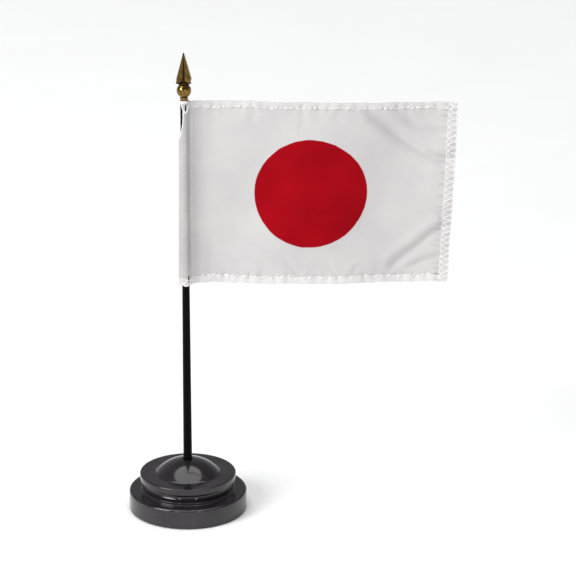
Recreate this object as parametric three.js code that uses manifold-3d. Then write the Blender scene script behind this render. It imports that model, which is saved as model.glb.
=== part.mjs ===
// Desk flag stand: a small cloth flag on a tapered rod with a gilt spear head, which stands in a
// stepped, weighted round base. Millimetres, +Z up. The origin is the middle of the base's underside,
// on the rod's axis. The flag flies towards +X, and its face looks towards -Y.

import * as THREE from "three";
import { mergeVertices } from "three/addons/utils/BufferGeometryUtils.js";
import Module from "manifold-3d";

const wasm = await Module();
wasm.setup();

// ---- Base: felt pad, bottom plate and ballast
const PAD_INSET = 0.9; // from the plate's edge to the pad's
const PAD_THICKNESS = 1.0;
const PLATE_THICKNESS = 1.6;
const PLATE_CLEARANCE = 0.25; // all round, between the plate and the recess that it snaps into
const COLLAR_HEIGHT = 2.0; // ring on the plate that locates the socket tube
const COLLAR_WALL = 1.5;
const COLLAR_CLEARANCE = 0.25;
const BALLAST_WALL_GAP = 3.0; // from the ballast ring to the wall around it
const BALLAST_CLEARANCE = 0.3; // to the collar inside it and to the ceiling above it

// ---- Base: lower tier, a hollow moulding 2.5 in across
const TIER_RADIUS = 31.75;
const TIER_TOP = 11.0; // height of the flat ring
const TIER_FOOT = 0.4; // the skirt stops above the table, so that the pad carries the base
const SHOULDER_RADIUS = 1.1;
const SKIRT_WALL = 2.0;
const PLATE_SEAT_WIDTH = 0.75; // step inside the skirt that the plate stops against
const CEILING = 2.0;
const RING_WIDTH = 6.45; // of the flat ring, shoulder included, from the outside to the ledge
const LEDGE_RISE = 1.6;
const EDGE_BREAK = 0.3;
const GROOVE_HEIGHT = 4.5; // round-bottomed groove between the ledge and the disc
const GROOVE_LIP = 0.7; // flat between the ledge's edge and the groove
const NECK_WALL = 1.95; // from the groove's bottom to the bore behind it

// ---- Base: domed cap, a disc with a dome, a hole and a socket tube
const DISC_OVERHANG = 0.6; // how far the disc stands out past the ledge
const DISC_EDGE = 3.5;
const RIM_RADIUS = 0.55;
const DISC_FLAT = 8.4; // width of the flat between the disc's edge and the dome's foot
const DOME_RISE = 7.8;
const CAP_WALL = 2.0;
const HOLE_CLEARANCE = 0.16; // between the rod's foot and the hole, all round
const HOLE_BREAK = 0.3;
const SOCKET_WALL = 1.6;
const SPIGOT_DEPTH = 4.8; // ring under the cap that plugs into the lower tier
const SPIGOT_WALL = 1.8;
const SPIGOT_CLEARANCE = 0.15;

// ---- Rod
const ROD_RADIUS = 2.38; // 3/16 in across at the foot
const ROD_TIP_RADIUS = 1.95;
const ROD_TAPER_LENGTH = 125.0;
const ROD_LENGTH = 227.9; // from its foot to the spear head's collar
const ROD_END_FLAT = 1.0;
const ROD_SHOULDER = 0.75; // step in from the rod's top to the spigot on it
const ROD_SPIGOT_LENGTH = 5.0;

// ---- Spear head
const HEAD_COLLAR_OVERHANG = 0.15; // how far the collar stands out past the rod
const HEAD_COLLAR_HEIGHT = 1.9;
const BALL_RADIUS = 3.85;
const HEAD_NECK_RADIUS = 2.7;
const HEAD_NECK_HEIGHT = 0.9;
const SPEAR_RADIUS = 5.8; // across the ridges
const SPEAR_GROOVE_RADIUS = 4.2; // across the grooves between them
const SPEAR_UNDERSIDE = 1.9; // rise from the neck to the ridges' lip
const SPEAR_ARCH = 1.3; // how much higher the lip is in the grooves
const SPEAR_EDGE = 0.4; // upright edge above the lip
const SPEAR_LENGTH = 15.4; // from the lip to the tip
const SPEAR_TIP_RADIUS = 0.6;
const SPEAR_ROOT_INSET = 0.6; // the spear's root is this far inside the neck
const HEAD_SOCKET_CLEARANCE = 0.12;
const HEAD_SOCKET_SPARE = 0.4; // depth left over past the rod's spigot

// ---- Flag, 4 in high
const FLAG_HEIGHT = 101.6;
const FLAG_REACH = 142.8; // from the rod's axis to the fly edge
const FLAG_DROP = 0.6; // from the spear head's collar to the flag's top edge
const CLOTH = 0.5;
const HEM_CLOTH = 1.1; // folded twice
const TOP_HEM = 3.5;
const BOTTOM_HEM = 4.2;
const FLY_HEM = 4.8;
const SLEEVE_CLEARANCE = 0.3;
const MOUTH_HEIGHT = 18.0; // the sleeve's edge slants across the rod over this height
const MOUTH_TOP = -0.4; // where the slanting edge reaches the top, from the rod's axis
const WAVE_DEPTH = 1.5;
const HALF_WAVES = 3; // from the sleeve to the fly hem

// ---- Sewing thread
const THREAD = 0.4;
const THREAD_GAP = 0.1; // between a thread and the cloth that it lies on
const SEAM_INSET = 0.8; // from the sleeve's side to the seam
const ZIGZAG_PITCH = 3.2;
const ZIGZAG_MARGIN = 0.5; // between the zigzag and the fly hem's edges
const TACK_GAP = 0.15; // from a tack to the rod, and from a tack to the sleeve's end

// ---- Fineness: segments of large, middling and slim turned pieces, and steps along the cloth
const LARGE_ROUND = 48;
const MIDDLING_ROUND = 28;
const SLIM_ROUND = 20;
const CLOTH_STEPS = 30;

// ---- Heights and radii that follow from the sizes above
const plateTop = PAD_THICKNESS + PLATE_THICKNESS;
const ceilingHeight = TIER_TOP - CEILING;
const ledgeTop = TIER_TOP + LEDGE_RISE;
const ledgeRadius = TIER_RADIUS - RING_WIDTH;
const grooveRadius = GROOVE_HEIGHT / 2;
const grooveCentre = ledgeRadius - GROOVE_LIP;
const partingHeight = ledgeTop + grooveRadius;
const neckBore = grooveCentre - grooveRadius - NECK_WALL;
const recessRadius = TIER_RADIUS - SKIRT_WALL;
const cavityRadius = recessRadius - PLATE_SEAT_WIDTH;
const plateRadius = recessRadius - PLATE_CLEARANCE;
const discRadius = ledgeRadius + DISC_OVERHANG;
const discUnderside = ledgeTop + GROOVE_HEIGHT;
const discTop = discUnderside + DISC_EDGE;
const domeRadius = discRadius - DISC_FLAT;
const domeTop = discTop + DOME_RISE;
const domeSphere = (domeRadius ** 2 + DOME_RISE ** 2) / (2 * DOME_RISE);
const holeRadius = ROD_RADIUS + HOLE_CLEARANCE;
const socketRadius = holeRadius + SOCKET_WALL;
const collarInner = socketRadius + COLLAR_CLEARANCE;
const collarOuter = collarInner + COLLAR_WALL;
const rodFoot = plateTop;
const rodTop = rodFoot + ROD_LENGTH;
const rodSpigotRadius = ROD_TIP_RADIUS - ROD_SHOULDER;
const headCollarRadius = ROD_TIP_RADIUS + HEAD_COLLAR_OVERHANG;
const ballCentre = rodTop + HEAD_COLLAR_HEIGHT + leg(BALL_RADIUS, headCollarRadius);
const headNeckTop = ballCentre + leg(BALL_RADIUS, HEAD_NECK_RADIUS) + HEAD_NECK_HEIGHT;
const spearLip = headNeckTop + SPEAR_UNDERSIDE;
const flagTop = rodTop - FLAG_DROP;
const flagFoot = flagTop - FLAG_HEIGHT;
const sleeveInner = rodRadiusAt(flagFoot) + SLEEVE_CLEARANCE;
const sleeveOuter = sleeveInner + CLOTH;
const flyStart = FLAG_REACH - FLY_HEM;

// ---- Materials
const gloss = (color) => new THREE.MeshStandardMaterial({ color, roughness: 0.18, metalness: 0 });
const matt = (color) => new THREE.MeshStandardMaterial({ color, roughness: 0.8, metalness: 0 });
const basePlastic = gloss(0x2b292c);
const rodPlastic = new THREE.MeshStandardMaterial({ color: 0x121414, roughness: 0.35, metalness: 0 });
const platePlastic = matt(0x2a2a2c);
const padFelt = matt(0x1c1c1e);
const castIron = new THREE.MeshStandardMaterial({ color: 0x6a6764, roughness: 0.6, metalness: 0.9 });
const gilt = new THREE.MeshStandardMaterial({ color: 0xb08d4a, roughness: 0.25, metalness: 1 });
const whiteCloth = matt(0xe4e4e6);
const whiteThread = matt(0xf4f4f4);

// ---- Helpers

// The other leg of a right-angled triangle.
function leg(hypotenuse, side) {
  return Math.sqrt(hypotenuse ** 2 - side ** 2);
}

// The rod's radius at a height: it tapers upwards from its foot, and is straight above the taper.
function rodRadiusAt(z) {
  const share = THREE.MathUtils.clamp((z - rodFoot) / ROD_TAPER_LENGTH, 0, 1);
  return THREE.MathUtils.lerp(ROD_RADIUS, ROD_TIP_RADIUS, share);
}

// Points of an arc in a turned profile. Angles are in degrees, from outwards and towards up.
function arc(r, z, radius, from, to, steps) {
  return Array.from({ length: steps + 1 }, (_, i) => {
    const angle = THREE.MathUtils.degToRad(THREE.MathUtils.lerp(from, to, i / steps));
    return [r + radius * Math.cos(angle), z + radius * Math.sin(angle)];
  });
}

// A turned solid from its profile, a list of [radius, height]. A profile off the axis closes on itself.
function turned(profile, segments) {
  const points = profile.map(([r, z]) => new THREE.Vector2(r, z));
  const onAxis = points[0].x === 0 && points.at(-1).x === 0;
  if (!onAxis) points.push(points[0].clone());
  if (THREE.ShapeUtils.area(points) < 0) points.reverse();
  return new THREE.LatheGeometry(points, segments).rotateX(Math.PI / 2);
}

// An outline in plan, a list of [x, y], as a solid between two heights.
function upright(outline, from, to) {
  const shape = new THREE.Shape(outline.map(([x, y]) => new THREE.Vector2(x, y)));
  return new THREE.ExtrudeGeometry(shape, { depth: to - from, bevelEnabled: false }).translate(0, 0, from);
}

// An outline as seen from the front, a list of [x, z], as a solid from y = front to y = back.
function facing(outline, front, back) {
  const shape = new THREE.Shape(outline.map(([x, z]) => new THREE.Vector2(x, z)));
  const plate = new THREE.ExtrudeGeometry(shape, { depth: back - front, bevelEnabled: false });
  return plate.rotateX(Math.PI / 2).translate(0, back, 0);
}

// A closed solid through rings of points, all with the same number of points, capped at both ends.
function lofted(rings) {
  const count = rings[0].length;
  const last = (rings.length - 1) * count;
  const index = [];
  for (let ring = 0; ring < last; ring += count) {
    for (let j = 0; j < count; j++) {
      const a = ring + j;
      const b = ring + ((j + 1) % count);
      index.push(a, b, b + count, a, b + count, a + count);
    }
  }
  for (let j = 1; j < count - 1; j++) {
    index.push(0, j + 1, j, last, last + j, last + j + 1);
  }
  const geometry = new THREE.BufferGeometry().setFromPoints(rings.flat());
  return geometry.setIndex(index);
}

// A geometry as a manifold-3d solid.
function solid(geometry) {
  const bare = new THREE.BufferGeometry();
  bare.setAttribute("position", geometry.getAttribute("position"));
  bare.setIndex(geometry.index);
  const merged = mergeVertices(bare, 1e-4);
  const mesh = new wasm.Mesh({
    numProp: 3,
    vertProperties: merged.getAttribute("position").array,
    triVerts: new Uint32Array(merged.index.array),
  });
  return new wasm.Manifold(mesh);
}

function joined(...geometries) {
  return geometries.map(solid).reduce((whole, piece) => whole.add(piece));
}

// A manifold-3d solid as a geometry.
function geometryOf(body) {
  const { vertProperties, triVerts } = body.getMesh();
  const geometry = new THREE.BufferGeometry();
  geometry.setAttribute("position", new THREE.BufferAttribute(vertProperties, 3));
  geometry.setIndex(new THREE.BufferAttribute(triVerts, 1));
  geometry.computeVertexNormals();
  return geometry;
}

// ---- The base

function feltPad() {
  const radius = plateRadius - PAD_INSET;
  return turned([[0, 0], [radius, 0], [radius, PAD_THICKNESS], [0, PAD_THICKNESS]], LARGE_ROUND);
}

function bottomPlate() {
  const collarTop = plateTop + COLLAR_HEIGHT;
  const profile = [
    [0, PAD_THICKNESS],
    [plateRadius, PAD_THICKNESS],
    [plateRadius, plateTop],
    [collarOuter, plateTop],
    [collarOuter, collarTop],
    [collarInner, collarTop],
    [collarInner, plateTop],
    [0, plateTop],
  ];
  return turned(profile, LARGE_ROUND);
}

function ballastRing() {
  const inner = collarOuter + BALLAST_CLEARANCE;
  const outer = cavityRadius - BALLAST_WALL_GAP;
  const top = ceilingHeight - BALLAST_CLEARANCE;
  return turned([[inner, plateTop], [outer, plateTop], [outer, top], [inner, top]], LARGE_ROUND);
}

function lowerTier() {
  const shoulder = TIER_TOP - SHOULDER_RADIUS;
  const profile = [
    [TIER_RADIUS, TIER_FOOT],
    ...arc(TIER_RADIUS - SHOULDER_RADIUS, shoulder, SHOULDER_RADIUS, 0, 90, 4),
    [ledgeRadius, TIER_TOP],
    [ledgeRadius, ledgeTop - EDGE_BREAK],
    [ledgeRadius - EDGE_BREAK, ledgeTop],
    ...arc(grooveCentre, partingHeight, grooveRadius, 270, 180, 4),
    [neckBore, partingHeight],
    [neckBore, ceilingHeight],
    [cavityRadius, ceilingHeight],
    [cavityRadius, plateTop],
    [recessRadius, plateTop],
    [recessRadius, TIER_FOOT],
  ];
  return turned(profile, LARGE_ROUND);
}

function domedCap() {
  const spigotOuter = neckBore - SPIGOT_CLEARANCE;
  const spigotInner = spigotOuter - SPIGOT_WALL;
  const spigotFoot = partingHeight - SPIGOT_DEPTH;
  const sphereCentre = domeTop - domeSphere;
  const innerSphere = domeSphere - CAP_WALL;
  const capCeiling = discTop - CAP_WALL;
  const mouth = holeRadius + HOLE_BREAK;
  const angleAt = (radius, sphere) => THREE.MathUtils.radToDeg(Math.acos(radius / sphere));
  const innerFoot = leg(innerSphere, capCeiling - sphereCentre);
  const crown = (sphere, from, to, steps) => {
    return arc(0, sphereCentre, sphere, angleAt(from, sphere), angleAt(to, sphere), steps);
  };
  const dome = crown(domeSphere, domeRadius, mouth, 8);
  const profile = [
    ...arc(grooveCentre, partingHeight, grooveRadius, 180, 90, 4),
    [discRadius - EDGE_BREAK, discUnderside],
    [discRadius, discUnderside + EDGE_BREAK],
    ...arc(discRadius - RIM_RADIUS, discTop - RIM_RADIUS, RIM_RADIUS, 0, 90, 3),
    ...dome,
    [holeRadius, dome.at(-1)[1] - HOLE_BREAK],
    [holeRadius, plateTop],
    [socketRadius, plateTop],
    ...crown(innerSphere, socketRadius, innerFoot, 4),
    [spigotInner, capCeiling],
    [spigotInner, spigotFoot],
    [spigotOuter, spigotFoot],
    [spigotOuter, partingHeight],
  ];
  return turned(profile, LARGE_ROUND);
}

// ---- The rod and its spear head

function rod() {
  const rounding = ROD_RADIUS - ROD_END_FLAT;
  const profile = [
    [0, rodFoot],
    ...arc(ROD_END_FLAT, rodFoot + rounding, rounding, 270, 360, 4),
    [ROD_TIP_RADIUS, rodFoot + ROD_TAPER_LENGTH],
    [ROD_TIP_RADIUS, rodTop],
    [rodSpigotRadius, rodTop],
    [rodSpigotRadius, rodTop + ROD_SPIGOT_LENGTH],
    [0, rodTop + ROD_SPIGOT_LENGTH],
  ];
  return turned(profile, SLIM_ROUND);
}

// Collar, ball and neck in one, with the blind socket that the rod's spigot fills. The neck ends
// inside the spear, under its arches.
function headBall() {
  const socket = rodSpigotRadius + HEAD_SOCKET_CLEARANCE;
  const socketTop = rodTop + ROD_SPIGOT_LENGTH + HEAD_SOCKET_SPARE;
  const from = -THREE.MathUtils.radToDeg(Math.acos(headCollarRadius / BALL_RADIUS));
  const to = THREE.MathUtils.radToDeg(Math.acos(HEAD_NECK_RADIUS / BALL_RADIUS));
  const neckEnd = headNeckTop + SPEAR_ARCH;
  const profile = [
    [0, socketTop],
    [socket, socketTop],
    [socket, rodTop],
    [headCollarRadius, rodTop],
    ...arc(0, ballCentre, BALL_RADIUS, from, to, 10),
    [HEAD_NECK_RADIUS, neckEnd],
    [0, neckEnd],
  ];
  return turned(profile, MIDDLING_ROUND);
}

// One ring of the spear: ridges towards the four corners, and grooves between them that lie higher.
function spearRing(ridge, groove, z, arch) {
  return Array.from({ length: 8 }, (_, i) => {
    const onRidge = i % 2 === 1;
    const radius = onRidge ? ridge : groove;
    const angle = (i * Math.PI) / 4;
    return new THREE.Vector3(radius * Math.cos(angle), radius * Math.sin(angle), onRidge ? z : z + arch);
  });
}

function spearHead() {
  const root = HEAD_NECK_RADIUS - SPEAR_ROOT_INSET;
  const tipGroove = (SPEAR_TIP_RADIUS * SPEAR_GROOVE_RADIUS) / SPEAR_RADIUS;
  const spear = lofted([
    spearRing(root, root, headNeckTop, 0),
    spearRing(SPEAR_RADIUS, SPEAR_GROOVE_RADIUS, spearLip, SPEAR_ARCH),
    spearRing(SPEAR_RADIUS, SPEAR_GROOVE_RADIUS, spearLip + SPEAR_EDGE, SPEAR_ARCH),
    spearRing(SPEAR_TIP_RADIUS, tipGroove, spearLip + SPEAR_LENGTH, 0),
  ]);
  return geometryOf(joined(headBall(), spear));
}

// ---- The flag and its sewing

// How far the middle of the cloth lies towards +Y: it waves up to the fly hem, which lies flat.
function clothY(x) {
  const share = THREE.MathUtils.clamp((x - sleeveOuter) / (flyStart - sleeveOuter), 0, 1);
  return WAVE_DEPTH * Math.sin(Math.PI * HALF_WAVES * share);
}

// A band of even thickness that follows the cloth from one x to another, with its front and back
// measured from the cloth's middle, towards -Y.
function band(from, to, front, back, foot, top, steps = CLOTH_STEPS) {
  const along = Array.from({ length: steps + 1 }, (_, i) => THREE.MathUtils.lerp(from, to, i / steps));
  const outline = [
    ...along.map((x) => [x, clothY(x) - front]),
    ...along.reverse().map((x) => [x, clothY(x) - back]),
  ];
  return upright(outline, foot, top);
}

// The part of the sleeve that is cut away, in front of and behind the rod, at its mouth.
function sleeveMouth() {
  const side = -2 * sleeveOuter;
  const over = flagTop + FLAG_DROP;
  const outline = [
    [side, flagTop - MOUTH_HEIGHT],
    [-sleeveOuter, flagTop - MOUTH_HEIGHT],
    [MOUTH_TOP, over],
    [side, over],
  ];
  return facing(outline, side, -side);
}

function flagCloth() {
  const half = CLOTH / 2;
  const hem = HEM_CLOTH / 2;
  const sleeve = [[0, flagFoot], [sleeveOuter, flagFoot], [sleeveOuter, flagTop], [0, flagTop]];
  const overrun = flagTop + FLAG_DROP;
  const underrun = flagFoot - FLAG_DROP;
  const rodRoom = [[0, underrun], [sleeveInner, underrun], [sleeveInner, overrun], [0, overrun]];
  const whole = joined(
    turned(sleeve, MIDDLING_ROUND),
    band(0, flyStart, half, -half, flagFoot, flagTop),
    band(0, flyStart, hem, -hem, flagTop - TOP_HEM, flagTop),
    band(0, flyStart, hem, -hem, flagFoot, flagFoot + BOTTOM_HEM),
    band(flyStart, FLAG_REACH, hem, -hem, flagFoot, flagTop, 1),
  );
  return geometryOf(whole.subtract(solid(turned(rodRoom, MIDDLING_ROUND))).subtract(solid(sleeveMouth())));
}

// The seam that closes the sleeve, between the two hems.
function sleeveSeam() {
  const x = sleeveOuter + SEAM_INSET;
  const near = CLOTH / 2 + THREAD_GAP;
  return band(x, x + THREAD, near + THREAD, near, flagFoot + BOTTOM_HEM, flagTop - TOP_HEM, 1);
}

// A hem's row of stitches, from the seam to the fly hem.
function hemStitches(z) {
  const from = sleeveOuter + SEAM_INSET + THREAD;
  const near = HEM_CLOTH / 2 + THREAD_GAP;
  return band(from, flyStart, near + THREAD, near, z - THREAD / 2, z + THREAD / 2);
}

// The fly hem's zigzag, one thread that runs up the hem's face.
function flyZigzag() {
  const inner = flyStart + ZIGZAG_MARGIN;
  const outer = FLAG_REACH - ZIGZAG_MARGIN - THREAD;
  const foot = flagFoot + ZIGZAG_MARGIN;
  const room = FLAG_HEIGHT - 2 * ZIGZAG_MARGIN;
  const strokes = Math.floor((2 * room) / ZIGZAG_PITCH);
  const corners = Array.from({ length: strokes + 1 }, (_, i) => {
    return [i % 2 ? outer : inner, foot + (i * ZIGZAG_PITCH) / 2];
  });
  const outline = [...corners, ...corners.toReversed().map(([x, z]) => [x + THREAD, z])];
  const near = HEM_CLOTH / 2 + THREAD_GAP;
  return facing(outline, -near - THREAD, -near);
}

// A ring of thread that draws one end of the sleeve in round the rod.
function tack(z) {
  const radius = rodRadiusAt(z) + TACK_GAP + THREAD / 2;
  return new THREE.TorusGeometry(radius, THREAD / 2, 8, SLIM_ROUND).translate(0, 0, z);
}

// ---- The object

const group = new THREE.Group();

function add(name, geometry, material) {
  const mesh = new THREE.Mesh(geometry, material);
  mesh.name = name;
  group.add(mesh);
}

add("felt_pad", feltPad(), padFelt);
add("bottom_plate", bottomPlate(), platePlastic);
add("ballast_ring", ballastRing(), castIron);
add("lower_tier", lowerTier(), basePlastic);
add("domed_cap", domedCap(), basePlastic);
add("rod", rod(), rodPlastic);
add("spear_head", spearHead(), gilt);
add("flag_cloth", flagCloth(), whiteCloth);
add("sleeve_seam_thread", sleeveSeam(), whiteThread);
add("top_hem_thread", hemStitches(flagTop - TOP_HEM + THREAD), whiteThread);
add("bottom_hem_thread", hemStitches(flagFoot + BOTTOM_HEM - THREAD), whiteThread);
add("fly_hem_thread", flyZigzag(), whiteThread);
add("top_tack", tack(flagTop + TACK_GAP + THREAD / 2), whiteThread);
add("bottom_tack", tack(flagFoot - TACK_GAP - THREAD / 2), whiteThread);

export default group;
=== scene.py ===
import math
import random

import bmesh
import bpy
import numpy as np
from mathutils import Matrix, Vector


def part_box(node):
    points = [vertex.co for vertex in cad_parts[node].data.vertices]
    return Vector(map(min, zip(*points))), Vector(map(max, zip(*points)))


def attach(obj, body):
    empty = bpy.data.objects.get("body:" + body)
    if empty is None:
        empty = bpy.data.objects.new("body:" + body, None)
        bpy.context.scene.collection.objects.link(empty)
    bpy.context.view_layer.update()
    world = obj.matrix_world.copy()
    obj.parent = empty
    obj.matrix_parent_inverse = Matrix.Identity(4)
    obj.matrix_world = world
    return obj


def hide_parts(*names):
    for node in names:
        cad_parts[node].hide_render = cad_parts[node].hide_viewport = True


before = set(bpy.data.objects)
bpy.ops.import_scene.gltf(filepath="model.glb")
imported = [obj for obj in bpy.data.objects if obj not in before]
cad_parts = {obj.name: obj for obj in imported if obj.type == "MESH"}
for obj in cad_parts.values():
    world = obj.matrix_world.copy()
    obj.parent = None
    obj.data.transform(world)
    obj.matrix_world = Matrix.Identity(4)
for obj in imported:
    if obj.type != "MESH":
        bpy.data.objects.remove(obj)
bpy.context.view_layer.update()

MM = 0.001

# Sizes in millimetres. What the frame holds is read from it; the rest are the maker's own sizes.
TIER_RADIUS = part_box("lower_tier")[1].x / MM
TIER_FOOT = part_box("lower_tier")[0].z / MM
TIER_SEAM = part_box("lower_tier")[1].z / MM
CAP_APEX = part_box("domed_cap")[1].z / MM
CAP_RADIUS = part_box("domed_cap")[1].x / MM
SOCKET_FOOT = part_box("domed_cap")[0].z / MM
ROD_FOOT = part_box("rod")[0].z / MM
ROD_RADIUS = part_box("rod")[1].x / MM
HEAD_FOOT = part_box("spear_head")[0].z / MM
SPEAR_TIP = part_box("spear_head")[1].z / MM
FLAG_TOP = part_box("flag_cloth")[1].z / MM
FLAG_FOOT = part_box("flag_cloth")[0].z / MM
FLY_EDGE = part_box("flag_cloth")[1].x / MM

RING_TOP = 11.0
SHOULDER = 1.1
LEDGE_RADIUS = 25.3
LEDGE_TOP = 12.6
GROOVE_CENTRE = 24.6
GROOVE_RADIUS = 2.25
DISC_TOP = 20.6
RIM = 0.55
DOME_FOOT = 17.5
HOLE_RADIUS = 2.54
SOCKET_RADIUS = 4.14
SPIGOT_RADIUS = 20.25
SPIGOT_FOOT = 10.05
BORE_RADIUS = 20.4
BORE_CEILING = 9.0
WALL = 2
SPIGOT_WALL = 1.8
FILLET = 0.35
SMALL_ROUND = 0.3
BASE_SIDES = 160

ROD_TIP_RADIUS = 1.95
ROD_TAPER_END = 127.6
COLLAR_RADIUS = 2.1
BALL_RADIUS = 3.85
BALL_HEIGHT = 235.63
NECK_RADIUS = 2.7
SPEAR_FOOT = 239.27
SPEAR_LIP = 240.5
SPEAR_RADIUS = 5.8
SPEAR_VALLEY = 2.45
SPEAR_ARCH = 1.3
SPEAR_EDGE = 0.4
SPEAR_POINT = 0.25
RIB_BEVEL = 0.22
BALL_CORNER = BALL_RADIUS * 0.8
BALL_CORNER_END = BALL_RADIUS * 0.95

# The cloth goes round the rod to FLANK, in degrees from the fly, and then straight to the seam.
SLEEVE_RADIUS = 2.5
FLANK = 300
SEAM_X = 2.95
SEAM_Y = 0.35
REACH = FLY_EDGE - SEAM_X
DROP = FLAG_TOP - FLAG_FOOT
CLOTH = 0.25
HEM_CLOTH = 0.9
TOP_HEM = 3.4
BOTTOM_HEM = 4.1
FLY_HEM = 4.6
FLY_LEAN = 4.2
WAVE = 1.5
WAVE_START = 2.75
WAVE_SPAN = 135.25
DISC_RADIUS = 30.1
DISC_FROM_ROD = 67.0

# The mouth's cut edge and each slit's corner, as (across the rod, below the top).
MOUTH_CUT = [(-1.95, -0.3), (-0.35, 4.1), (-0.85, 12.5), (-2.7, 20.4)]
SLITS = [(0.45, 1.5), (1.2, DROP - 5.2)]
SLIT_WIDTH = 0.75
SLIT_LENGTH = 3.2
CUT_WINDOW = 12

THREAD = 0.23
SEAM_THREAD = 0.12
TACK_THREAD = 0.34
TACK_OUT = 0.3
STITCH_RISE = 0.34
ZIGZAG = 3.2
ZIGZAGS = 32


def linear(code):
    """An sRGB hex colour as the linear numbers that a shader takes."""
    parts = [int(code[i:i + 2], 16) / 255 for i in (1, 3, 5)]
    return [p / 12.92 if p <= 0.04045 else ((p + 0.055) / 1.055) ** 2.4 for p in parts] + [1.0]


def per(size):
    """The texture scale that gives a pattern of this size in millimetres."""
    return 1.0 / (size * MM)


def bands(size):
    """The wave texture's scale that sets its bands this many millimetres apart."""
    return 0.31416 / (size * MM)


def add_node(tree, kind, inputs=None, stops=(), **settings):
    """Adds one node with its settings. An input is given a value or linked to a socket, and a
    ramp's stops are each a place from 0 to 1 and an sRGB hex colour."""
    made = tree.nodes.new(kind)
    for key, value in settings.items():
        setattr(made, key, value)
    for key, value in (inputs or {}).items():
        if isinstance(value, bpy.types.NodeSocket):
            tree.links.new(value, made.inputs[key])
        else:
            made.inputs[key].default_value = value
    for index, (place, code) in enumerate(stops):
        elements = made.color_ramp.elements
        stop = elements[index] if index < len(elements) else elements.new(place)
        stop.position = place
        stop.color = linear(code)
    return made


def new_finish(name):
    """An empty material and its tree."""
    material = bpy.data.materials.new(name)
    material.use_nodes = True
    material.node_tree.nodes.clear()
    return material, material.node_tree


# ---------------------------------------------------------------- materials

def gloss_black_abs():
    """High gloss moulded ABS: black with a faint warm cast. The slightest waviness from the mould
    bends its reflections, and fine dust softens them."""
    material, tree = new_finish("gloss_black_abs")
    place = add_node(tree, "ShaderNodeTexCoord").outputs["Object"]
    flow = add_node(tree, "ShaderNodeTexNoise", {"Vector": place, "Scale": per(9), "Detail": 3.0})
    tint = add_node(tree, "ShaderNodeValToRGB", {"Fac": flow.outputs["Fac"]},
                    stops=((0.35, "#1d191c"), (0.7, "#282427")))
    dust = add_node(tree, "ShaderNodeTexNoise", {"Vector": place, "Scale": per(0.9), "Detail": 5.0,
                                                 "Roughness": 0.7})
    gloss = add_node(tree, "ShaderNodeMapRange", {"Value": dust.outputs["Fac"], "From Min": 0.45,
                                                  "From Max": 0.8, "To Min": 0.12, "To Max": 0.26})
    peel = add_node(tree, "ShaderNodeTexNoise", {"Vector": place, "Scale": per(3.5), "Detail": 1.0})
    wave = add_node(tree, "ShaderNodeBump", {"Height": peel.outputs["Fac"], "Strength": 0.12,
                                             "Distance": 0.05 * MM})
    shade = add_node(tree, "ShaderNodeBsdfPrincipled", {
        "Base Color": tint.outputs["Color"], "Roughness": gloss.outputs["Result"], "IOR": 1.54,
        "Normal": wave.outputs["Normal"]})
    add_node(tree, "ShaderNodeOutputMaterial", {"Surface": shade.outputs["BSDF"]})
    return material


def satin_black_styrene():
    """Moulded polystyrene rod: satin black with faint lengthwise drag lines from the mould."""
    material, tree = new_finish("satin_black_styrene")
    place = add_node(tree, "ShaderNodeTexCoord").outputs["Object"]
    drawn = add_node(tree, "ShaderNodeMapping", {"Vector": place, "Scale": (1.0, 1.0, 0.03)})
    lines = add_node(tree, "ShaderNodeTexNoise", {"Vector": drawn.outputs["Vector"], "Scale": per(0.5),
                                                  "Detail": 3.0})
    tint = add_node(tree, "ShaderNodeValToRGB", {"Fac": lines.outputs["Fac"]},
                    stops=((0, "#020202"), (1, "#070808")))
    grain = add_node(tree, "ShaderNodeTexNoise", {"Vector": place, "Scale": per(0.8), "Detail": 4.0})
    satin = add_node(tree, "ShaderNodeMapRange", {"Value": grain.outputs["Fac"], "From Min": 0.3,
                                                  "From Max": 0.7, "To Min": 0.28, "To Max": 0.42})
    ridge = add_node(tree, "ShaderNodeBump", {"Height": lines.outputs["Fac"], "Strength": 0.25,
                                              "Distance": 0.05 * MM})
    shade = add_node(tree, "ShaderNodeBsdfPrincipled", {
        "Base Color": tint.outputs["Color"], "Roughness": satin.outputs["Result"], "IOR": 1.5,
        "Specular IOR Level": 0.05, "Normal": ridge.outputs["Normal"]})
    add_node(tree, "ShaderNodeOutputMaterial", {"Surface": shade.outputs["BSDF"]})
    return material


def in_valleys(tree, place):
    """One along the spear's four valleys, and nought by the time the face nears a rib: where painted shade
    darkens the valleys.
    """
    axes = add_node(tree, "ShaderNodeSeparateXYZ", {0: place})
    x = add_node(tree, "ShaderNodeMath", {0: axes.outputs["X"]}, operation="ABSOLUTE")
    y = add_node(tree, "ShaderNodeMath", {0: axes.outputs["Y"]}, operation="ABSOLUTE")
    near = add_node(tree, "ShaderNodeMath", {0: x.outputs["Value"], 1: y.outputs["Value"]},
                    operation="MINIMUM")
    far = add_node(tree, "ShaderNodeMath", {0: x.outputs["Value"], 1: y.outputs["Value"]},
                   operation="MAXIMUM")
    share = add_node(tree, "ShaderNodeMath", {0: near.outputs["Value"], 1: far.outputs["Value"]},
                     operation="DIVIDE", use_clamp=True)
    fade = add_node(tree, "ShaderNodeMapRange", {"Value": share.outputs["Value"], "From Min": 0.04,
                                                 "From Max": 0.5, "To Min": 1.0, "To Max": 0.0})
    return fade.outputs["Result"]


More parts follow.
